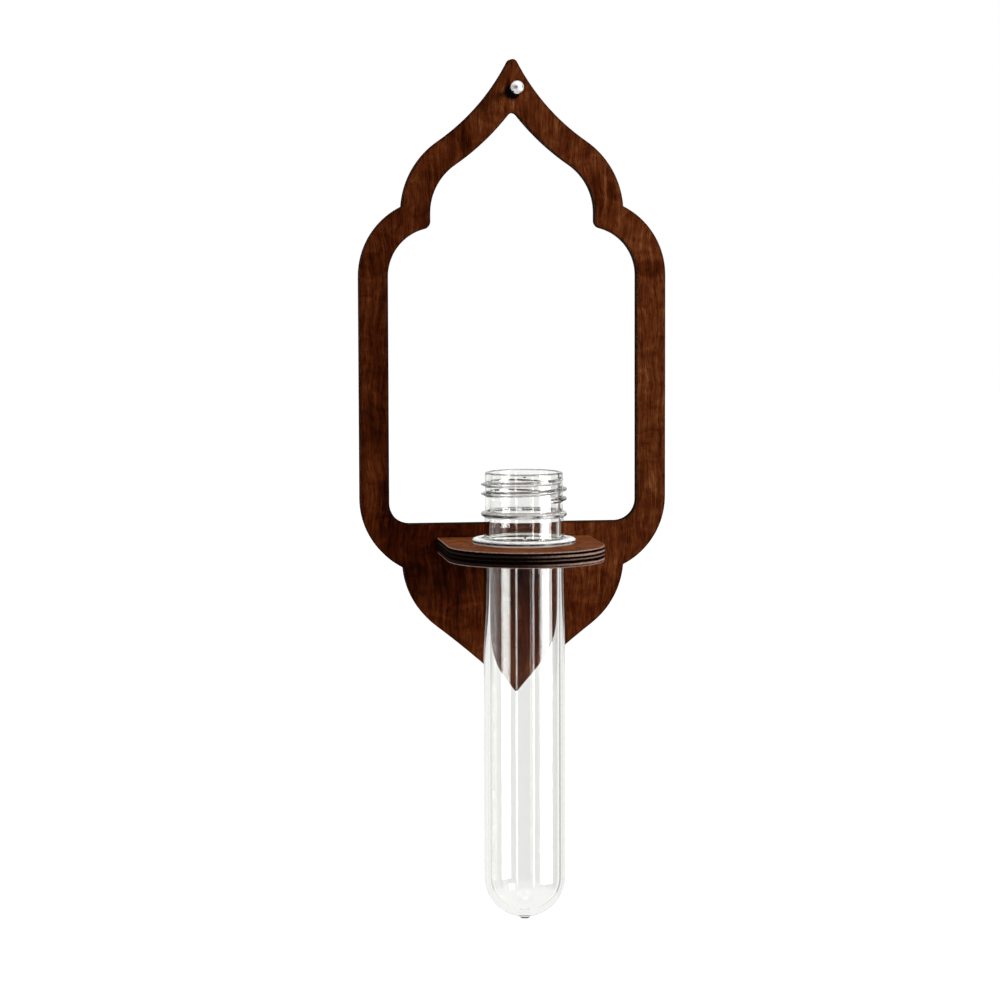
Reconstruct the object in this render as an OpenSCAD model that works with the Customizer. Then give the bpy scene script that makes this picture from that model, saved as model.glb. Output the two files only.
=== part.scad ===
// Wall hung flower tube: a pointed-arch plywood panel carries a small shelf,
// and a clear tube with a bottle-type neck hangs by its ring in the shelf's hole.
// The panel hangs on one nail. The origin is on the nail's axis where it meets the wall.
// X runs to the right, Y into the wall, Z up. The wall is the plane y = 0.

/* [Panel] */
// Width of the panel across its straight sides
panel_w = 100; // [92:1:112]
// Thickness of the panel's plywood
panel_t = 5; // [4:0.5:8]
// Width of the band of wood round the window
band_w = 9.3; // [8.6:0.1:11]
// Height of the window's sill above the shelf's top
sill_h = 4.5; // [3:0.5:10]
// Radius of the window's two bottom corners
sill_corner_r = 7; // [4:0.5:10]
// Radius of the two nibs in the window's shoulders
nib_r = 2.5; // [1.5:0.1:3.5]
// Radius that rounds the window's apex
apex_r = 2; // [1:0.1:4]

/* [Panel outline] */
// Height of the tip above the nail
tip_h = 9.4; // [8.6:0.1:13]
// Radius that rounds the tip
tip_r = 1.6; // [1:0.1:2.4]
// Radius of the hollow sweep between tip and crown
sweep_r = 70; // [62:1:84]
// Radius of the crown's lobe
crown_r = 28; // [27:0.5:30]
// Distance of the crown lobe's centre from the middle line
crown_x = 8.2; // [7:0.1:10]
// Drop from the nail to the crown lobe's centre
crown_drop = 40; // [38:0.5:42]
// Drop from the nail to the shoulder lobe's centre
shoulder_drop = 60.3; // [59.5:0.1:66]
// Radius of the shoulder lobe and of the hip lobe
side_r = 25; // [23:0.5:27]
// Length of the straight sides between shoulder and hip
side_len = 72; // [66:1:90]
// Drop from the hip lobe's centre to the foot lobe's centre
foot_drop = 20.1; // [18:0.1:24]
// Distance of the foot lobe's centre from the middle line
foot_x = 9.2; // [7:0.1:11]
// Radius of the foot's lobe
foot_r = 27; // [26:0.5:29]
// Radius of the long, nearly straight sweep down to the foot's point
foot_sweep_r = 300; // [200:10:600]
// Drop from the foot lobe's centre to the foot's point
foot_point_drop = 43.3; // [40:0.1:50]
// Radius that rounds the foot's point
foot_tip_r = 0.6; // [0.3:0.1:1.5]

/* [Hanging hole and nail] */
// Diameter of the panel's hanging hole
hang_hole_d = 4.4; // [3.4:0.1:5.6]
// Diameter of the nail's shank
nail_d = 2; // [1.6:0.1:2.4]
// Length of the nail from under its head to its point
nail_len = 35; // [30:1:50]
// Length of the nail's sharpened point
nail_point = 3.5; // [2:0.5:5]
// Distance that the nail's head stands in front of the panel
nail_stand = 10.5; // [4:0.5:14]
// Diameter of the nail's domed head
nail_head_d = 4.2; // [3.6:0.1:6]
// Height of the nail head's dome
nail_head_h = 1.5; // [1:0.1:2]
// Thickness of the head's rim under the dome
nail_rim_h = 0.4; // [0.2:0.1:0.8]

/* [Shelf] */
// Drop from the nail to the shelf's top
shelf_drop = 145; // [143:0.5:150]
// Thickness of the shelf's plywood
shelf_t = 5; // [4:0.5:8]
// Width of the shelf across its straight sides
shelf_w = 50; // [46:1:56]
// Distance of the tube's axis in front of the panel
tube_out = 23.5; // [20:0.5:30]
// Distance from the panel to the middle of the shelf's half-round front
shelf_reach = 52.7; // [50:0.1:60]
// Width of each of the shelf's two tenons
tenon_w = 11; // [8:0.5:13]
// Distance of each tenon's middle from the middle line
tenon_x = 15; // [12:0.5:16]

/* [Tube] */
// Diameter of the tube's body
tube_d = 26; // [24:0.5:27]
// Thickness of the body's wall
tube_wall = 2.1; // [1.8:0.1:3]
// Length of the body from its ring's underside to its round bottom
tube_len = 120.6; // [90:0.2:150]
// Height of the rim above the ring's underside
neck_h = 22.9; // [20:0.1:28]
// Diameter of the neck above the bead
neck_d = 24.9; // [24.6:0.1:26]
// Diameter of the neck between bead and ring
collar_d = 25.4; // [25:0.1:26.5]
// Diameter of the ring that rests on the shelf
ring_d = 33; // [31:0.5:38]
// Thickness of that ring
ring_t = 1.8; // [1.4:0.1:2.6]
// Diameter of the bead
bead_d = 27.4; // [26.8:0.1:30]
// Thickness of the bead
bead_t = 1.7; // [1.2:0.1:2.4]
// Drop from the rim to the bead's middle
bead_drop = 13.3; // [12:0.1:15]
// Radius that rounds the rim
rim_r = 0.7; // [0.3:0.1:1]
// Diameter of the moulding mark under the round bottom
nub_d = 3; // [2:0.1:5]
// Depth of that moulding mark
nub_h = 0.6; // [0.3:0.1:1.2]

/* [Fits] */
// Gap round the tube's body in the shelf's hole
tube_play = 0.5; // [0.3:0.1:1]
// Gap between the ring and the shelf's top
seat_gap = 0.1; // [0.05:0.05:0.3]
// Gap between the nail's shank and the top of the hanging hole
hang_gap = 0.05; // [0.02:0.01:0.1]
// Gap on each side of a tenon in its mortise
tenon_gap = 0.1; // [0.05:0.05:0.2]

/* [Hidden] */
// How far an arc's chords may lie inside the true curve
chord_tol = 0.01;
// How far a cut runs past the faces that it goes through
past = 1;
half_w = panel_w / 2;
panel_front = -panel_t;
shelf_top = -shelf_drop;
tube_y = panel_front - tube_out;
tube_r = tube_d / 2;
bore_r = tube_r - tube_wall;
// Centres of the outline's circles on the right, as [x, z]
tip_c = [0, tip_h - tip_r];
crown_c = [crown_x, -crown_drop];
shoulder_c = [half_w - side_r, -shoulder_drop];
hip_c = [shoulder_c.x, shoulder_c.y - side_len];
foot_c = [foot_x, hip_c.y - foot_drop];
foot_tip_c = [0, foot_c.y - foot_point_drop + foot_tip_r];
sweep_c = meet(tip_c, tip_r + sweep_r, crown_c, crown_r + sweep_r);
foot_sweep_c = meet(foot_tip_c, foot_tip_r + foot_sweep_r, foot_c, foot_r + foot_sweep_r);
// Where the lobes cut each other in the outline's four notches
upper_notch = meet(crown_c, crown_r, shoulder_c, side_r);
lower_notch = meet(foot_c, foot_r, hip_c, side_r);

// Crossing point of two circles that lies further to the right
function meet(c1, r1, c2, r2) =
    let (d = norm(c2 - c1))
    let (along = (r1 * r1 - r2 * r2 + d * d) / (2 * d))
    let (across = sqrt(r1 * r1 - along * along))
    let (e = (c2 - c1) / d)
    let (p = c1 + along * e + across * [-e.y, e.x])
    let (q = c1 + along * e - across * [-e.y, e.x])
    p.x > q.x ? p : q;

// Direction from one point to another, in degrees
function bearing(from, to) = atan2(to.y - from.y, to.x - from.x);

// Points along an arc, with as many chords as its radius needs
function arc(c, r, a0, a1) =
    let (n = max(2, ceil(abs(a1 - a0) / (2 * acos(1 - chord_tol / r)))))
    [for (i = [0 : n]) c + r * [cos(a0 + (a1 - a0) * i / n), sin(a0 + (a1 - a0) * i / n)]];

// The same points on the left, in the order that closes the outline
function mirrored(points) =
    [for (i = [len(points) - 1 : -1 : 0]) if (points[i].x > chord_tol) [-points[i].x, points[i].y]];

function both_sides(points) = concat(points, mirrored(points));

// Right half of the panel's outline, from the tip down to the foot
function outline_half() = concat(
    arc(tip_c, tip_r, 90, bearing(tip_c, sweep_c)),
    arc(sweep_c, sweep_r, 180 + bearing(tip_c, sweep_c), 180 + bearing(crown_c, sweep_c)),
    arc(crown_c, crown_r, bearing(crown_c, sweep_c), bearing(crown_c, upper_notch)),
    arc(shoulder_c, side_r, bearing(shoulder_c, upper_notch), 0),
    arc(hip_c, side_r, 0, bearing(hip_c, lower_notch)),
    arc(foot_c, foot_r, bearing(foot_c, lower_notch), bearing(foot_c, foot_sweep_c)),
    arc(foot_sweep_c, foot_sweep_r, 180 + bearing(foot_c, foot_sweep_c),
        180 + bearing(foot_tip_c, foot_sweep_c)),
    arc(foot_tip_c, foot_tip_r, bearing(foot_tip_c, foot_sweep_c), -90)
);

// Right half of the window, which keeps the band's width from the outline
function window_half() =
    let (hollow_r = sweep_r + band_w)
    let (apex_reach = hollow_r + apex_r)
    let (apex_c = [0, sweep_c.y - sqrt(apex_reach * apex_reach - sweep_c.x * sweep_c.x)])
    let (lobe_r = crown_r - band_w)
    let (corner_r = side_r - band_w)
    let (nib_x = crown_c.x + lobe_r + nib_r)
    let (reach = corner_r + nib_r)
    let (aside = nib_x - shoulder_c.x)
    let (nib_c = [nib_x, shoulder_c.y + sqrt(reach * reach - aside * aside)])
    let (sill_z = shelf_top + sill_h)
    let (sill_c = [half_w - band_w - sill_corner_r, sill_z + sill_corner_r])
    concat(
        arc(apex_c, apex_r, 90, bearing(apex_c, sweep_c)),
        arc(sweep_c, hollow_r, 180 + bearing(apex_c, sweep_c), 180 + bearing(crown_c, sweep_c)),
        arc(crown_c, lobe_r, bearing(crown_c, sweep_c), 0),
        arc(nib_c, nib_r, 180, 180 + bearing(shoulder_c, nib_c)),
        arc(shoulder_c, corner_r, bearing(shoulder_c, nib_c), 0),
        arc(sill_c, sill_corner_r, 0, -90)
    );

// A prism between two depths, from an outline drawn in x and z
module upright(y0, y1) {
    translate([0, y1, 0])
        rotate([90, 0, 0])
            linear_extrude(y1 - y0)
                children();
}

// Hanging hole, placed so that its top rests on the nail
module hang_hole() {
    translate([0, past, hang_gap + (nail_d - hang_hole_d) / 2])
        rotate([90, 0, 0])
            cylinder(d = hang_hole_d, h = panel_t + 2 * past, $fn = 64);
}

// One block for each tenon, grown on every side by the given gap
module tenon_blocks(gap, y0, y1) {
    for (side = [-1, 1])
        translate([side * tenon_x - tenon_w / 2 - gap, y0, shelf_top - shelf_t - gap])
            cube([tenon_w + 2 * gap, y1 - y0, shelf_t + 2 * gap]);
}

module back_panel() {
    color("#4b230f")
        difference() {
            upright(panel_front, 0)
                difference() {
                    polygon(both_sides(outline_half()));
                    polygon(both_sides(window_half()));
                }
            hang_hole();
            tenon_blocks(tenon_gap, panel_front - past, past);
        }
}

// Right half of the shelf seen from above, from its half-round front to the panel
function shelf_half() =
    let (front_r = shelf_w / 2)
    let (front_c = [0, panel_front - shelf_reach + front_r])
    concat(arc(front_c, front_r, -90, 0), [[front_r, panel_front]]);

module tube_shelf() {
    color("#5d3420")
        difference() {
            union() {
                translate([0, 0, shelf_top - shelf_t])
                    linear_extrude(shelf_t)
                        polygon(both_sides(shelf_half()));
                tenon_blocks(0, panel_front - past, 0);
            }
            translate([0, tube_y, shelf_top - shelf_t - past])
                cylinder(r = tube_r + tube_play, h = shelf_t + 2 * past, $fn = 96);
        }
}

// Section of the tube from the middle of its bottom, up the outside and down the bore
function tube_section() =
    let (dome_z = -tube_len + tube_r)
    let (nub_r = nub_d / 2)
    let (nub_a = -acos(nub_r / tube_r))
    let (edge_r = ring_t / 2)
    let (bead_z = neck_h - bead_drop)
    let (bead_edge_r = bead_t / 2)
    let (lip_r = min(rim_r, (neck_d / 2 - bore_r) / 2.1))
    concat(
        [[0, -tube_len - nub_h], [nub_r, -tube_len - nub_h]],
        arc([0, dome_z], tube_r, nub_a, 0),
        [[tube_r, 0]],
        arc([ring_d / 2 - edge_r, edge_r], edge_r, -90, 90),
        [[collar_d / 2, ring_t], [collar_d / 2, bead_z - bead_edge_r]],
        arc([bead_d / 2 - bead_edge_r, bead_z], bead_edge_r, -90, 90),
        [[neck_d / 2, bead_z + bead_edge_r]],
        arc([neck_d / 2 - lip_r, neck_h - lip_r], lip_r, 0, 90),
        arc([bore_r + lip_r, neck_h - lip_r], lip_r, 90, 180),
        arc([0, dome_z], bore_r, 0, -90)
    );

module flower_tube() {
    color("#dfe9ec", 0.4)
        translate([0, tube_y, shelf_top + seat_gap])
            rotate_extrude($fn = 128)
                polygon(tube_section());
}

// Section of the nail from the top of its head to its point
function nail_section() =
    let (head_r = nail_head_d / 2)
    let (dome_r = (head_r * head_r + nail_head_h * nail_head_h) / (2 * nail_head_h))
    let (dome_c = [0, dome_r - nail_head_h - nail_rim_h])
    let (rim_a = bearing(dome_c, [head_r, -nail_rim_h]))
    concat(
        arc(dome_c, dome_r, -90, rim_a),
        [[head_r, 0], [nail_d / 2, 0], [nail_d / 2, nail_len - nail_point], [0, nail_len]]
    );

module wall_nail() {
    color("#c9ccd0")
        translate([0, panel_front - nail_stand, 0])
            rotate([-90, 0, 0])
                rotate_extrude($fn = 64)
                    polygon(nail_section());
}

back_panel();
tube_shelf();
flower_tube();
wall_nail();
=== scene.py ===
import math

import bpy
from mathutils import Matrix, Vector


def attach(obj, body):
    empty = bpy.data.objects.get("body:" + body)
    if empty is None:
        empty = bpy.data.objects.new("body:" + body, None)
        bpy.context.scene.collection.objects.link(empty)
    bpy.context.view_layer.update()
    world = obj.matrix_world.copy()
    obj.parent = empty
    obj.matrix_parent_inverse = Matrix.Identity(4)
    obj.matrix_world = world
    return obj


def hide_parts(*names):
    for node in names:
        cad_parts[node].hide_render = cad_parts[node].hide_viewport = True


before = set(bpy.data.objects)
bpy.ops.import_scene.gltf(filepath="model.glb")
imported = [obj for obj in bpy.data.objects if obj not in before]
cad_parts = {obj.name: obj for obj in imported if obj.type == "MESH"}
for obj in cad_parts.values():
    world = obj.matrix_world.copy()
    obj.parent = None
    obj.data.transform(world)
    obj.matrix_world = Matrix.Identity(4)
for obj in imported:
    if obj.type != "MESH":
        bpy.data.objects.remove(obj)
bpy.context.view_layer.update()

# Object sizes are in millimetres. The camera, the floor and the lamps are in metres.
MM = 0.001
PER_MM = (1000, 1000, 1000)
X, Y, Z = 0, 1, 2

# Camera, solved from the photo, with its angles in radians
CAMERA_AT = Vector((-0.15139, -1.09448, -0.037115))
CAMERA_YAW, CAMERA_PITCH, CAMERA_ROLL = 0.134, -0.087, -0.003
CAMERA_LENS, SENSOR_WIDTH = 122.15, 36.0
CLIP_NEAR, CLIP_FAR = 0.05, 50.0


def make_camera():
    forward = Vector((math.sin(CAMERA_YAW) * math.cos(CAMERA_PITCH),
                      math.cos(CAMERA_YAW) * math.cos(CAMERA_PITCH),
                      math.sin(CAMERA_PITCH)))
    level = Vector((math.cos(CAMERA_YAW), -math.sin(CAMERA_YAW), 0.0))
    upward = level.cross(forward)
    side = level * math.cos(CAMERA_ROLL) + upward * math.sin(CAMERA_ROLL)
    top = upward * math.cos(CAMERA_ROLL) - level * math.sin(CAMERA_ROLL)
    camera = bpy.data.objects.new("camera", bpy.data.cameras.new("camera"))
    bpy.context.scene.collection.objects.link(camera)
    turn = Matrix((side, top, -forward)).transposed()
    camera.matrix_world = Matrix.Translation(CAMERA_AT) @ turn.to_4x4()
    camera.data.sensor_fit = "HORIZONTAL"
    camera.data.sensor_width = SENSOR_WIDTH
    camera.data.lens = CAMERA_LENS
    camera.data.clip_start = CLIP_NEAR
    camera.data.clip_end = CLIP_FAR
    bpy.context.scene.camera = camera
    bpy.context.scene.view_settings.view_transform = "Standard"


class Nodes:
    """Short calls for building one node tree. A function keeps its own as n."""

    def __init__(self, tree):
        self.tree = tree
        tree.nodes.clear()

    def add(self, kind, inputs=(), **settings):
        node = self.tree.nodes.new(kind)
        for key, value in settings.items():
            setattr(node, key, value)
        for key, value in dict(inputs).items():
            self.put(node.inputs[key], value)
        return node

    def put(self, socket, value):
        if isinstance(value, bpy.types.NodeSocket):
            self.tree.links.new(value, socket)
        else:
            socket.default_value = value

    def math(self, operation, a, b=0.0, c=0.0):
        return self.add("ShaderNodeMath", {0: a, 1: b, 2: c}, operation=operation).outputs[0]

    def plus(self, a, b):
        return self.math("ADD", a, b)

    def minus(self, a, b):
        return self.math("SUBTRACT", a, b)

    def times(self, a, b):
        return self.math("MULTIPLY", a, b)

    def larger(self, a, b):
        return self.math("MAXIMUM", a, b)

    def absolute(self, a):
        return self.math("ABSOLUTE", a)

    def centred(self, noise, weight):
        """A noise round one half, turned into one round zero."""
        return self.times(self.minus(noise, 0.5), weight)

    def place(self):
        return self.add("ShaderNodeTexCoord").outputs["Object"]

    def split(self, vector):
        return self.add("ShaderNodeSeparateXYZ", {0: vector}).outputs

    def join(self, x, y, z=0.0):
        return self.add("ShaderNodeCombineXYZ", {0: x, 1: y, 2: z}).outputs[0]

    def vector_math(self, operation, a, b=(0, 0, 0)):
        return self.add("ShaderNodeVectorMath", {0: a, 1: b}, operation=operation).outputs

    def length(self, vector):
        return self.vector_math("LENGTH", vector)["Value"]

    def scaled(self, vector, scale, location=(0, 0, 0)):
        inputs = {"Vector": vector, "Scale": scale, "Location": location}
        return self.add("ShaderNodeMapping", inputs).outputs[0]

    def noise(self, vector, detail=3.0, roughness=0.5, distortion=0.0):
        inputs = {"Vector": vector, "Scale": 1.0, "Detail": detail, "Roughness": roughness,
                  "Distortion": distortion}
        return self.add("ShaderNodeTexNoise", inputs).outputs["Fac"]

    def span(self, value, low, high, out_low=0.0, out_high=1.0, kind="SMOOTHSTEP"):
        """A value mapped from one range to another. The first may run backwards."""
        inputs = {"Value": value, "From Min": low, "From Max": high,
                  "To Min": out_low, "To Max": out_high}
        return self.add("ShaderNodeMapRange", inputs, interpolation_type=kind).outputs[0]

    def band(self, value, low, high, soft):
        return self.times(self.span(value, low - soft, low + soft),
                          self.span(value, high + soft, high - soft))

    def mix(self, factor, a, b):
        return self.add("ShaderNodeMix", {0: factor, 6: a, 7: b}, data_type="RGBA").outputs[2]

    def between(self, factor, a, b):
        return self.add("ShaderNodeMix", {0: factor, 2: a, 3: b}, data_type="FLOAT").outputs[0]

    def shaders(self, factor, a, b):
        return self.add("ShaderNodeMixShader", {0: factor, 1: a.outputs[0], 2: b.outputs[0]})

    def ramp(self, factor, stops):
        node = self.add("ShaderNodeValToRGB", {"Fac": factor})
        points = node.color_ramp.elements
        while len(points) < len(stops):
            points.new(0.5)
        for point, (place, colour) in zip(points, stops):
            point.position = place
            point.color = (*colour, 1.0)
        return node.outputs["Color"]

    def bump(self, height, strength, distance):
        inputs = {"Height": height, "Strength": strength, "Distance": distance}
        return self.add("ShaderNodeBump", inputs).outputs["Normal"]

    def surface(self, shader):
        self.add("ShaderNodeOutputMaterial", {"Surface": shader.outputs[0]})


def new_material(name):
    material = bpy.data.materials.new(name)
    material.use_nodes = True
    return material, Nodes(material.node_tree)


def dress(obj, material):
    obj.data.materials.clear()
    obj.data.materials.append(material)


WELD_REACH = 0.001


def weld(obj):
    obj.modifiers.new("weld", "WELD").merge_threshold = WELD_REACH * MM


def extent(obj, axis):
    """Lowest and highest point of a CAD node along one axis."""
    places = [vertex.co[axis] / MM for vertex in obj.data.vertices]
    return min(places), max(places)


# Dark walnut stain on plywood, from its deepest tone to its lightest
STAIN = [(0.00, (0.0060, 0.0009, 0.0003)), (0.22, (0.0200, 0.0030, 0.0006)),
         (0.45, (0.0430, 0.0076, 0.0015)), (0.62, (0.0720, 0.0152, 0.0036)),
         (0.80, (0.1120, 0.0300, 0.0078)), (1.00, (0.1900, 0.0680, 0.0220))]

# Grain noises: scale across and along the grain, shift, detail, roughness, distortion
GRAIN = {"broad": (0.11, 0.018, 0.0, 3.0, 0.55, 0.0),
         "streak": (0.75, 0.055, 11.0, 4.0, 0.60, 0.0),
         "fibre": (2.6, 0.16, 23.0, 4.0, 0.65, 0.0),
         "pores": (5.5, 0.45, 37.0, 2.0, 0.50, 0.0),
         "blotch": (0.06, 0.05, 51.0, 3.0, 0.60, 0.0),
         "curl": (0.16, 0.22, 67.0, 2.0, 0.50, 1.2)}
GRAIN_WEIGHTS = {"broad": 0.60, "streak": 0.86, "fibre": 0.74, "blotch": 0.50, "curl": 0.52}
SWAY_SCALE, SWAY_REACH = 0.035, 9.0
PORE_DEPTH = 0.26

# Between these places in x the panel's tone goes from one value to another: painted shade on the left
# and painted light on the right, as if the light came from the right
PAINTED_LIGHT_FROM, PAINTED_LIGHT_TO = -48.0, 34.0
SCORCH_RADIUS = 1.0

# Lighter plies in a cut edge: middle and half thickness as depths in the sheet, and strength
PLIES = ((1.42, 0.30, 1.0), (2.65, 0.20, 0.55), (4.10, 0.30, 1.0))
PLY_SOFT, PLY_WOBBLE = 0.10, 0.25
# Towards the left in x the lighter plies fade to a share: painted shade, as if the light came from the
# right
PLY_SHADE_FROM, PLY_SHADE_TO, PLY_SHADED = -6.0, 18.0, 0.06
ARRIS = 0.30


def grain_noises(n, in_mm, along, across):
    """Noises drawn out along the grain, which sways a little to its sides."""
    sway = n.noise(n.scaled(in_mm, (SWAY_SCALE, SWAY_SCALE, SWAY_SCALE)), detail=2.0)
    parts = list(n.split(in_mm))
    parts[across] = n.plus(parts[across], n.centred(sway, SWAY_REACH))
    wavy = n.join(*parts)
    noises = {}
    for name, (wide, long, shift, *settings) in GRAIN.items():
        scale = [wide, wide, wide]
        scale[along] = long
        noises[name] = n.noise(n.scaled(wavy, scale, (shift, shift * 0.7, shift * 1.3)), *settings)
    return noises


def stain_and_painted_light(n, in_mm, grain, tone, painted_light_span, scorch, marks):
    """Where each point of the face lies on the STAIN ramp: grain, stain marks, painted light and shade,
    pores and scorch.
    """
    value = tone
    for part, weight in GRAIN_WEIGHTS.items():
        value = n.plus(value, n.centred(grain[part], weight))
    # Painted light: the tone is lowered on the left and raised on the right, as if the light came from
    # the right
    if painted_light_span:
        value = n.plus(value, n.span(n.split(in_mm)[X], PAINTED_LIGHT_FROM, PAINTED_LIGHT_TO, *painted_light_span))
    for middle, half, lift in marks:
        shaped = n.scaled(n.vector_math("SUBTRACT", in_mm, middle)[0], [1.0 / reach for reach in half])
        ragged = n.plus(n.length(shaped), n.centred(grain["streak"], 0.9))
        value = n.plus(value, n.times(n.span(ragged, 1.15, 0.45), lift))
    value = n.minus(value, n.span(grain["pores"], 0.54, 0.68, 0.0, PORE_DEPTH))
    # The stain is scorched beside a cut edge, where a normal eased over SCORCH_RADIUS leans away
    plain = n.add("ShaderNodeNewGeometry").outputs["Normal"]
    eased = n.add("ShaderNodeBevel", {"Radius": SCORCH_RADIUS * MM}, samples=6).outputs["Normal"]
    match = n.vector_math("DOT_PRODUCT", plain, eased)["Value"]
    return n.minus(value, n.span(match, 0.995, 0.80, 0.0, scorch))


def ply_lines(n, in_mm, depth):
    """The lighter plies in a cut edge. They fade towards the left as painted shade, as if the light
    came from the right.
    """
    wobble = n.noise(n.scaled(in_mm, (0.22, 0.22, 0.22)), detail=2.0)
    layer = n.plus(depth, n.centred(wobble, PLY_WOBBLE))
    lines = 0.0
    for middle, half, strength in PLIES:
        away = n.absolute(n.minus(layer, middle))
        lines = n.plus(lines, n.span(away, half + PLY_SOFT, half - PLY_SOFT, 0.0, strength))
    # Painted shade: the plies fade towards the left
    return n.times(lines, n.span(n.split(in_mm)[X], PLY_SHADE_FROM, PLY_SHADE_TO, PLY_SHADED, 1.0))


def plywood(name, sheet, along, across, through, tone, painted_light_span, scorch, gloss, edge, arris, marks=()):
    """Stained plywood. The grain runs along one axis, and the sheet is thin through another."""
    material, n = new_material(name)
    in_mm = n.scaled(n.place(), PER_MM)
    low, high = extent(sheet, through)
    depth = n.minus(high, n.split(in_mm)[through])
    from_face = n.math("MINIMUM", depth, n.minus(high - low, depth))

    grain = grain_noises(n, in_mm, along, across)
    lines = ply_lines(n, in_mm, depth)
    speckle = n.noise(n.scaled(in_mm, (1.4, 1.4, 1.4)))
    face = n.ramp(stain_and_painted_light(n, in_mm, grain, tone, painted_light_span, scorch, marks), STAIN)
    # Painted highlight: a lighter band along the bevelled face edges
    painted_arris_highlight = n.mix(n.span(speckle, 0.38, 0.62), *arris)
    # The cut edges are charred dark; their lighter plies carry the painted shade
    char_and_ply_shade = n.mix(n.times(lines, n.span(speckle, 0.30, 0.65, 0.55, 1.0)), *edge)
    colour = n.mix(n.span(from_face, 0.004, 0.03), face, painted_arris_highlight)
    colour = n.mix(n.span(from_face, ARRIS * 0.7, ARRIS * 1.3), colour, char_and_ply_shade)

    on_edge = n.span(from_face, 0.02, 0.16)
    closed = n.span(grain["pores"], 0.58, 0.72, 1.0, 0.0)
    fine = n.plus(n.times(grain["fibre"], 0.6), n.times(closed, 0.4))
    ridges = n.plus(n.times(lines, 1.6), n.times(speckle, 0.5))
    sheen = n.span(grain["streak"], 0.2, 0.8, 0.46, 0.62)
    n.surface(n.add("ShaderNodeBsdfPrincipled", {
        "Base Color": colour, "Roughness": n.between(on_edge, sheen, 0.9), "IOR": 1.45,
        "Specular IOR Level": gloss,
        "Normal": n.bump(n.between(on_edge, fine, ridges), 0.35, 0.12 * MM)}))
    return material


# Marks in the panel's tone: middle in x and z, half width, half height, lift. Most are stain; two are
# painted shade, and the last darkens the panel low on the right
MARKS = [(45.0, -48.5, 6.0, 7.0, 0.05), (33.0, -42.0, 5.0, 6.0, 0.14),
         (45.0, -58.0, 8.0, 3.2, -0.24), (-46.0, -128.0, 2.6, 17.0, 0.16),
         (-41.3, -128.0, 2.0, 19.0, -0.20), (-41.0, -150.0, 5.0, 8.0, 0.10),
         (-11.5, -11.0, 3.5, 6.0, 0.16), (-15.5, -18.0, 2.5, 5.0, -0.22),
         (-32.3, -34.0, 4.0, 9.0, 0.16), (30.2, -33.0, 0.6, 9.0, 0.28),
         (27.6, -33.0, 1.6, 9.0, -0.14), (14.0, -24.0, 4.0, 5.0, 0.12),
         # Painted shade: the second mark here darkens a ring round the hanging hole, round the nail
         # head
         (0.2, -5.4, 0.28, 2.2, 0.40), (0.2, -0.6, 3.4, 3.4, -0.30),
         # Painted shade: the first mark here darkens the panel low on the left, beside and below the
         # shelf, where its shadow falls. The second darkens the panel low on the right, below the shelf
         (-27.0, -148.0, 28.0, 26.0, -0.17), (20.0, -170.0, 20.0, 18.0, -0.16)]
MARK_DEPTH = 6.0
BEVEL_WIDTH, BEVEL_STEPS, BEVEL_ANGLE = 0.26, 2, 50.0


def finish_wood():
    panel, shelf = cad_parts["back_panel"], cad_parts["tube_shelf"]
    front = extent(panel, Y)[0]
    marks = [((x, front, z), (wide, MARK_DEPTH, tall), lift) for x, z, wide, tall, lift in MARKS]
    dress(panel, plywood("panel_wood", panel, along=Z, across=X, through=Y, tone=0.60,
                         # The panel's painted light: darker on the left, lighter on the right
                         painted_light_span=(-0.11, 0.07), scorch=0.46, gloss=0.006, marks=marks,
                         edge=((0.0030, 0.0011, 0.0008, 1), (0.016, 0.007, 0.004, 1)),
                         # Painted highlight along the panel's arris
                         arris=((0.050, 0.016, 0.007, 1), (0.240, 0.125, 0.080, 1))))
    # The shelf's tone is lighter than the panel's: painted light, for its top that faces the lamps
    # above
    dress(shelf, plywood("shelf_wood", shelf, along=X, across=Y, through=Z, tone=0.85,
                         painted_light_span=None, scorch=0.10, gloss=0.003,
                         edge=((0.0016, 0.0007, 0.0006, 1), (0.36, 0.225, 0.175, 1)),
                         # Painted highlight along the shelf's arris
                         arris=((0.22, 0.14, 0.115, 1), (0.36, 0.235, 0.20, 1))))
    for sheet in (panel, shelf):
        weld(sheet)
        bevel = sheet.modifiers.new("arris", "BEVEL")
        bevel.width = BEVEL_WIDTH * MM
        bevel.segments = BEVEL_STEPS
        bevel.limit_method = "ANGLE"
        bevel.angle_limit = math.radians(BEVEL_ANGLE)


def finish_nail():
    steel, n = new_material("polished_steel")
    here = n.place()
    scratch = n.noise(n.scaled(here, (9000, 1500, 9000)))
    smudge = n.noise(n.scaled(here, (900, 900, 900)), detail=2.0)
    n.surface(n.add("ShaderNodeBsdfPrincipled", {
        "Base Color": n.mix(smudge, (0.70, 0.69, 0.68, 1), (0.84, 0.84, 0.85, 1)), "Metallic": 1.0,
        "Roughness": n.span(smudge, 0.3, 0.8, 0.29, 0.38), "Normal": n.bump(scratch, 0.10, 0.02 * MM)}))
    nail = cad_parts["wall_nail"]
    dress(nail, steel)
    weld(nail)


# The tube, with the CAD's own sizes. Heights count up from the support ring's underside.
TUBE_AXIS_Y, RING_UNDERSIDE = -28.5, -144.9
BODY_R, BORE_R, BODY_LEN, NECK_TOP = 13.0, 10.9, 120.6, 22.9
RING_R, RING_T, COLLAR_R, NECK_R = 16.5, 1.8, 12.7, 12.45
BEAD_R, BEAD_T, BEAD_Z = 13.7, 1.7, 9.6
DOME_Z = BODY_R - BODY_LEN
FILLET, BEAD_FILLET, LIP_R = 0.45, 0.3, 0.6

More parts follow.
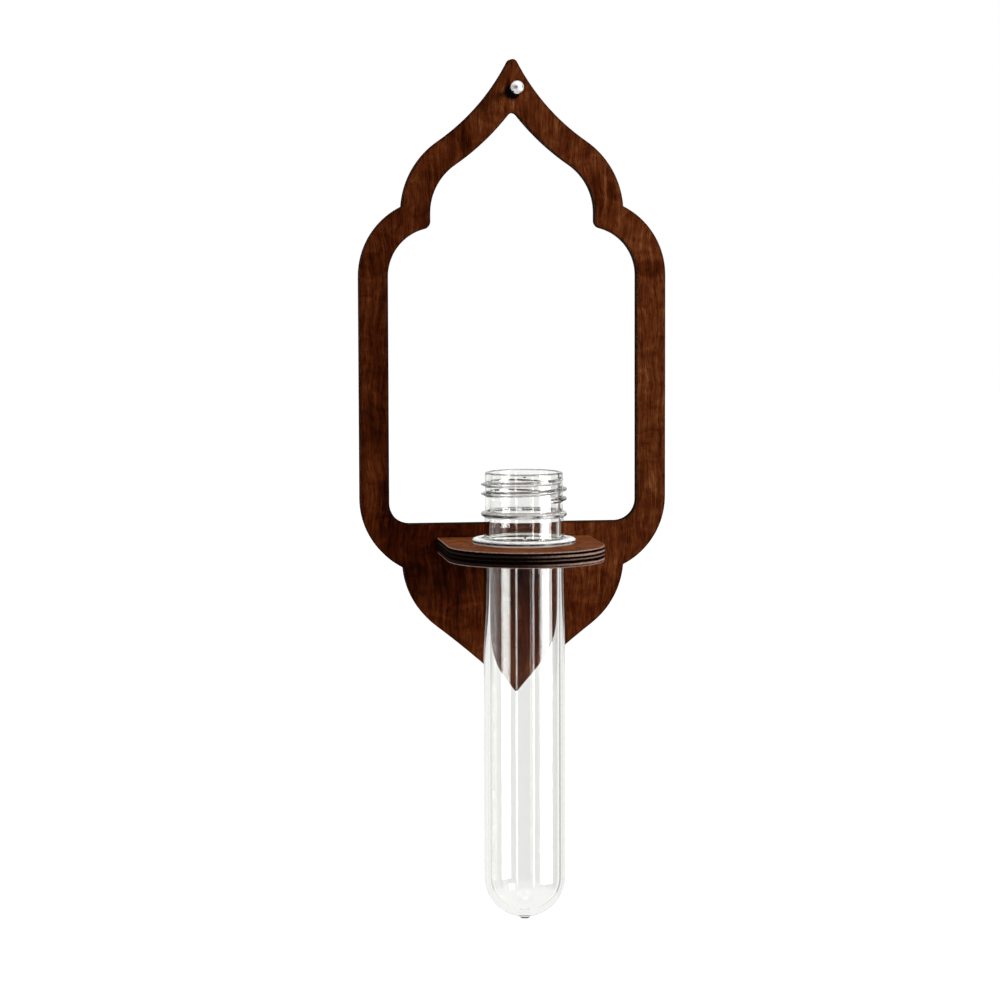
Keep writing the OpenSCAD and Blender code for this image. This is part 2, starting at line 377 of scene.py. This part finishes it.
# The moulding mark under the round end, as radius and height above the end. The dome starts at
# its rim, and the bore's dome stops short of the axis. Both are angles below the horizontal.
NUB_MIDDLE = -0.50
NUB_RIM = [(0.7, -0.60), (1.25, -0.57), (1.45, -0.42), (1.58, -0.10), (1.80, 0.13)]
DOME_START, BORE_END = 80.0, 86.0

# The thread, in degrees round the neck and millimetres up it
THREAD_R, THREAD_PITCH, THREAD_START_Z, THREAD_HALF = 13.78, 3.0, 14.5, 0.90
THREAD_FROM, THREAD_TO, RUN_IN, RUN_OUT = -62.0, 720.0, 40.0, 60.0
THREAD_FLANK = 0.85
THREAD_LOW, THREAD_HIGH, THREAD_ROWS = 12.4, 21.9, 100
SEAMS_AT, SEAM_HEIGHT, SEAM_HALF = (83.0, 263.0), 0.06, 2.2
COLUMNS = 288


def arc(centre_r, centre_z, radius, start, end, steps):
    angles = [math.radians(start + (end - start) * step / steps) for step in range(steps + 1)]
    return [(centre_r + radius * math.cos(angle), centre_z + radius * math.sin(angle))
            for angle in angles]


def straight(radius, start, end, steps):
    """Rows between two heights, without the first and the last."""
    return [(radius, start + (end - start) * step / steps) for step in range(1, steps)]


def smooth(share):
    return share * share * (3 - 2 * share)


def thread_height(angle, z):
    """How far the thread stands out of the neck."""
    best = 0.0
    for winding in (-1, 0, 1, 2):
        run = angle + 360.0 * winding
        if not THREAD_FROM <= run <= THREAD_TO:
            continue
        ease = smooth(min(1.0, (run - THREAD_FROM) / RUN_IN, (THREAD_TO - run) / RUN_OUT))
        off = abs(z - (THREAD_START_Z + THREAD_PITCH * run / 360.0)) / THREAD_HALF
        if off < 1.0:
            crest = smooth(min(1.0, (1.0 - off) / THREAD_FLANK))
            best = max(best, ease * crest * (THREAD_R - NECK_R))
    return best


def seam_height(angle):
    away = min(abs((angle - seam + 180) % 360 - 180) for seam in SEAMS_AT)
    return SEAM_HEIGHT * max(0.0, 1.0 - away / SEAM_HALF)


def tube_rows():
    """Rows of the tube, as radius and height: up the outside to the lip and down the bore."""
    bead_low, bead_high = BEAD_Z - BEAD_T / 2, BEAD_Z + BEAD_T / 2
    rows = [(r, z - BODY_LEN) for r, z in NUB_RIM]
    rows += arc(0, DOME_Z, BODY_R, -DOME_START, 0, 48)
    rows += straight(BODY_R, DOME_Z, -FILLET, 6)
    rows += arc(BODY_R + FILLET, -FILLET, FILLET, 180, 90, 8)
    rows += arc(RING_R - RING_T / 2, RING_T / 2, RING_T / 2, -90, 90, 20)
    rows += arc(COLLAR_R + FILLET, RING_T + FILLET, FILLET, 270, 180, 8)
    rows += straight(COLLAR_R, RING_T + FILLET, bead_low - FILLET, 6)
    rows += arc(COLLAR_R + BEAD_FILLET, bead_low - BEAD_FILLET, BEAD_FILLET, 180, 90, 5)
    rows += arc(BEAD_R - BEAD_T / 2, BEAD_Z, BEAD_T / 2, -90, 90, 20)
    rows += arc(NECK_R + BEAD_FILLET, bead_high + BEAD_FILLET, BEAD_FILLET, 270, 180, 5)
    rows.append((NECK_R, THREAD_LOW))
    rows += straight(NECK_R, THREAD_LOW, THREAD_HIGH, THREAD_ROWS)
    rows.append((NECK_R, THREAD_HIGH))
    rows += arc(NECK_R - LIP_R, NECK_TOP - LIP_R, LIP_R, 0, 90, 8)
    rows += arc(BORE_R + LIP_R, NECK_TOP - LIP_R, LIP_R, 90, 180, 8)
    rows += straight(BORE_R, NECK_TOP - LIP_R, DOME_Z, 12)
    rows += arc(0, DOME_Z, BORE_R, 0, -BORE_END, 48)
    return rows


def tube_points(rows):
    """All points of the tube's mesh, with one on the axis at each end."""
    points = [(0.0, 0.0, NUB_MIDDLE - BODY_LEN)]
    for r, z in rows:
        threaded = r == NECK_R and THREAD_LOW <= z <= THREAD_HIGH
        seamed = RING_T + FILLET <= z <= NECK_TOP - 1.0 and r > BORE_R + 1.0
        for column in range(COLUMNS):
            angle = 360.0 * column / COLUMNS
            reach = r
            if threaded:
                reach += thread_height(angle, z)
            if seamed:
                reach += seam_height(angle)
            turned = math.radians(angle)
            points.append((reach * math.cos(turned), reach * math.sin(turned), z))
    points.append((0.0, 0.0, DOME_Z - BORE_R))
    return [(x * MM, (TUBE_AXIS_Y + y) * MM, (RING_UNDERSIDE + z) * MM) for x, y, z in points]


def tube_faces(row_count):
    faces = []
    last = 1 + row_count * COLUMNS
    last_row = last - COLUMNS
    for column in range(COLUMNS):
        following = (column + 1) % COLUMNS
        faces.append((0, 1 + following, 1 + column))
        for row in range(row_count - 1):
            a, b = 1 + row * COLUMNS, 1 + (row + 1) * COLUMNS
            faces.append((a + column, a + following, b + following, b + column))
        faces.append((last, last_row + column, last_row + following))
    return faces


def make_tube():
    rows = tube_rows()
    mesh = bpy.data.meshes.new("clear_tube")
    mesh.from_pydata(tube_points(rows), [], tube_faces(len(rows)))
    mesh.validate()
    mesh.polygons.foreach_set("use_smooth", [True] * len(mesh.polygons))
    mesh.update()
    tube = bpy.data.objects.new("clear_tube", mesh)
    bpy.context.scene.collection.objects.link(tube)
    dress(tube, clear_plastic())
    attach(tube, "tube")
    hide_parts("flower_tube")


# The painted dark lines, in place of dark reflections: how far up the ring's runs, and how far below
# its middle the bead's runs
RING_LINE_Z, BEAD_LINE_DROP = 0.92, 0.2
DARK_FLANK_Z = (11.0, 11.4)
DARK_LIP_Z = (21.6, 21.9)


def rim_lines(n, here, height, on_ring, on_bead):
    """Broken painted dark lines round the support ring and the bead, in place of dark reflections."""
    dashes = n.noise(n.scaled(here, (260, 260, 500)), detail=2.0)
    from_ring_line = n.absolute(n.minus(height, RING_LINE_Z))
    from_bead_line = n.absolute(n.minus(height, BEAD_Z - BEAD_LINE_DROP))
    ring_line = n.times(n.times(on_ring, n.span(from_ring_line, 0.42, 0.24)),
                        n.span(dashes, 0.30, 0.50, 0.55, 1.0))
    bead_line = n.times(n.times(on_bead, n.span(from_bead_line, 0.50, 0.28)),
                        n.span(dashes, 0.40, 0.50, 0.10, 1.0))
    return n.larger(ring_line, bead_line)


def dark_flank(n, from_axis, mottle):
    """Painted dark lines on the thread's lower flank and the lip, in place of dark reflections. The
    distance from the crest wraps with the pitch.
    """
    height = from_axis[Z]
    tilt = n.absolute(n.split(n.add("ShaderNodeTexCoord").outputs["Normal"])[Z])
    flank = n.times(n.span(tilt, 0.22, 0.60), n.span(height, *DARK_FLANK_Z))
    climbed = n.times(n.math("ARCTAN2", from_axis[Y], from_axis[X]), THREAD_PITCH / (2 * math.pi))
    from_crest = n.math("WRAP", n.minus(n.minus(height, THREAD_START_Z), climbed),
                        THREAD_PITCH / 2, -THREAD_PITCH / 2)
    lower = n.larger(n.span(from_crest, 0.10, -0.20, 0.10, 1.0), n.span(height, *DARK_LIP_Z))
    return n.times(n.times(flank, lower), n.span(mottle, 0.30, 0.60, 0.55, 1.0))


def clear_plastic():
    """Clear plastic with a slight tint through its depth. The ring and bead are partly white diffuse, a
    painted reflection in place of their bright reflections, and dark lines are painted in for dark
    reflections.
    """
    material, n = new_material("clear_plastic")
    here = n.place()
    ripple = n.noise(n.scaled(here, (45, 45, 18)), detail=2.0)
    dust = n.noise(n.scaled(here, (2600, 2600, 900)), detail=2.0)
    mottle = n.noise(n.scaled(here, (900, 900, 900)), detail=2.0)
    from_axis = n.split(n.scaled(here, PER_MM, (0, -TUBE_AXIS_Y, -RING_UNDERSIDE)))
    radius = n.length(n.join(from_axis[X], from_axis[Y]))
    height = from_axis[Z]
    on_ring = n.times(n.span(radius, 13.2, 13.7), n.band(height, -0.1, RING_T + 0.1, 0.1))
    on_bead = n.times(n.span(radius, 12.9, 13.1),
                      n.band(height, BEAD_Z - BEAD_T / 2 - 0.1, BEAD_Z + BEAD_T / 2 + 0.1, 0.1))
    lines = rim_lines(n, here, height, on_ring, on_bead)
    # shade: painted dark lines, in place of dark reflections, darken the plastic's colour
    shade = n.larger(dark_flank(n, from_axis, mottle), lines)
    body = n.add("ShaderNodeBsdfPrincipled", {
        "Base Color": n.mix(shade, (0.992, 0.994, 0.984, 1), (0.14, 0.13, 0.13, 1)),
        "Roughness": n.span(dust, 0.55, 0.85, 0.012, 0.05), "IOR": 1.52,
        "Transmission Weight": 1.0, "Normal": n.bump(ripple, 0.008, 0.4 * MM)})

    dark_line = n.times(lines, n.span(mottle, 0.30, 0.55, 0.80, 1.0))
    # Painted reflection: white diffuse on the ring and bead, with the painted dark lines in it
    reflection_white = n.mix(mottle, (0.76, 0.76, 0.75, 1), (0.92, 0.92, 0.91, 1))
    painted_reflections = n.add("ShaderNodeBsdfDiffuse", {"Color": n.mix(dark_line, reflection_white, (0.02, 0.018, 0.018, 1))})
    reflection_share = n.plus(n.times(on_ring, n.span(radius, 13.4, 16.2, 0.38, 0.78)), n.times(on_bead, 0.36))
    reflection_share = n.times(reflection_share, n.span(mottle, 0.30, 0.60, 0.70, 1.0))
    reflection_share = n.larger(reflection_share, n.times(dark_line, 0.92))
    see_through = n.add("ShaderNodeBsdfTransparent", {"Color": (0.93, 0.94, 0.94, 1)})
    shadow_ray = n.add("ShaderNodeLightPath").outputs["Is Shadow Ray"]
    surface = n.shaders(shadow_ray, n.shaders(reflection_share, body, painted_reflections), see_through)
    tint = n.add("ShaderNodeVolumeAbsorption", {"Color": (0.45, 0.47, 0.34, 1), "Density": 25.0})
    n.add("ShaderNodeOutputMaterial", {"Surface": surface.outputs[0], "Volume": tint.outputs[0]})
    return material


def stage_mesh(name, points):
    sheet = bpy.data.meshes.new(name)
    sheet.from_pydata(points, [], [tuple(range(len(points)))])
    obj = bpy.data.objects.new(name, sheet)
    bpy.context.scene.collection.objects.link(obj)
    return obj


# The floor glows to the camera, more with the distance from its middle, until it is white
FLOOR_Z, FLOOR_HALF = -0.62, 9.0
GLOW_FROM, GLOW_TO, GLOW_LOW = 0.7, 1.9, 0.74


def make_floor():
    corners = ((-1, -1), (1, -1), (1, 1), (-1, 1))
    floor = stage_mesh("floor", [(x * FLOOR_HALF, y * FLOOR_HALF, FLOOR_Z) for x, y in corners])
    floor.visible_glossy = False
    floor.visible_transmission = False
    paper, n = new_material("pale_paper")
    matt = n.add("ShaderNodeBsdfDiffuse", {"Color": (0.80, 0.80, 0.80, 1)})
    camera_ray = n.add("ShaderNodeLightPath").outputs["Is Camera Ray"]
    strength = n.times(camera_ray, n.span(n.length(n.place()), GLOW_FROM, GLOW_TO, GLOW_LOW, 1.0))
    glow = n.add("ShaderNodeEmission", {"Color": (1, 1, 1, 1), "Strength": strength})
    n.surface(n.add("ShaderNodeAddShader", {0: matt.outputs[0], 1: glow.outputs[0]}))
    dress(floor, paper)


# A disc for the wall that shows through the hanging hole, coloured dark as painted shade. Only its
# front is drawn.
SPOT_R, SPOT_Y, SPOT_Z = 3.6, 0.05, -1.15


def make_wall_spot():
    rim = arc(0, SPOT_Z, SPOT_R, 0, 345, 23)
    spot = stage_mesh("wall_spot", [(x * MM, SPOT_Y * MM, z * MM) for x, z in rim])
    painted_shade_wall, n = new_material("wall_painted_shade")
    grit = n.noise(n.scaled(n.place(), (1200, 1200, 1200)))
    # Painted shade: the disc is coloured dark for the wall in shade behind the hole
    colour = n.mix(grit, (0.075, 0.062, 0.055, 1), (0.115, 0.100, 0.090, 1))
    matt = n.add("ShaderNodeBsdfDiffuse", {"Color": colour})
    behind = n.add("ShaderNodeNewGeometry").outputs["Backfacing"]
    n.surface(n.shaders(behind, matt, n.add("ShaderNodeBsdfTransparent")))
    dress(spot, painted_shade_wall)


# Radiance of the room in a reflection, by bearing from straight in front, positive to the right
ROOM = [(-180, 1.0), (-140, 1.0), (-131, 0.25), (-127, 1.2), (-119, 1.2), (-114, 0.15),
        (-103, 0.15), (-99, 1.2), (-92, 1.2), (-88, 0.12), (-78, 0.12), (-74, 1.2), (-66, 1.2),
        (-60, 0.04), (100, 0.04), (110, 0.25), (114, 1.2), (122, 1.2), (128, 0.3), (140, 1.0),
        (180, 1.0)]
ROOM_ABOVE, SKY_LIGHT = 0.9, 0.09


def make_world():
    """White behind what is seen straight, a room in reflections, and a weak even light."""
    world = bpy.data.worlds.new("studio")
    world.use_nodes = True
    bpy.context.scene.world = world
    n = Nodes(world.node_tree)
    way = n.split(n.add("ShaderNodeTexCoord").outputs["Generated"])
    bearing = n.times(n.math("ARCTAN2", way[X], n.times(way[Y], -1.0)), 180.0 / math.pi)
    room = n.ramp(n.span(bearing, -180.0, 180.0, kind="LINEAR"),
                  [((angle + 180.0) / 360.0, (light, light, light)) for angle, light in ROOM])
    room = n.larger(room, n.span(n.absolute(way[Z]), 0.32, 0.50, 0.0, ROOM_ABOVE))
    path = n.add("ShaderNodeLightPath").outputs
    unturned = n.math("LESS_THAN", path["Glossy Depth"], 0.5)
    seen = n.times(path["Is Transmission Ray"], unturned)
    bent = n.larger(path["Is Glossy Ray"], path["Is Transmission Ray"])
    strength = n.larger(n.between(bent, SKY_LIGHT, room), n.larger(path["Is Camera Ray"], seen))
    sky = n.add("ShaderNodeBackground", {"Color": (1, 1, 1, 1), "Strength": strength})
    n.add("ShaderNodeOutputWorld", {"Surface": sky.outputs[0]})


# The height that key and ceiling are aimed at
OBJECT_MIDDLE_Z = -0.13


def lamp(name, bearing, distance, middle_z, width, height, radiance,
         aim_z=None, mirrored=True, lights=True):
    """A soft lamp round the tube, at a bearing in degrees from the front, positive to the right."""
    data = bpy.data.lights.new(name, "AREA")
    data.shape = "RECTANGLE"
    data.size = width
    data.size_y = height
    data.energy = 4.0 * radiance * width * height
    obj = bpy.data.objects.new(name, data)
    swing = math.radians(bearing)
    out = Vector((math.sin(swing), -math.cos(swing), 0.0))
    obj.location = Vector((0.0, TUBE_AXIS_Y * MM, middle_z)) + out * distance
    target = Vector((0.0, TUBE_AXIS_Y * MM, middle_z if aim_z is None else aim_z))
    obj.rotation_mode = "QUATERNION"
    obj.rotation_quaternion = (target - obj.location).to_track_quat("-Z", "Y")
    obj.visible_glossy = mirrored
    obj.visible_transmission = mirrored
    obj.visible_diffuse = lights
    bpy.context.scene.collection.objects.link(obj)


def make_lamps():
    lamp("window", 60.0, 0.80, -0.28, 0.49, 0.36, 9.0, lights=False)
    lamp("key", 50.0, 0.72, 0.30, 0.30, 0.30, 24.0, aim_z=OBJECT_MIDDLE_Z)
    lamp("strip_right", 19.0, 0.90, -0.25, 0.045, 0.60, 8.0, lights=False)
    lamp("strip_left", -30.0, 0.90, -0.25, 0.036, 0.60, 3.0, lights=False)
    lamp("ceiling", 8.0, 0.20, 0.70, 0.70, 0.45, 1.2, aim_z=OBJECT_MIDDLE_Z)
    lamp("left", -90.0, 0.95, -0.10, 0.40, 0.60, 4.5, mirrored=False)
    lamp("rear", 205.0, 0.95, 0.10, 0.60, 0.70, 4.0, mirrored=False)


make_camera()
finish_wood()
finish_nail()
make_tube()
make_floor()
make_wall_spot()
make_world()
make_lamps()
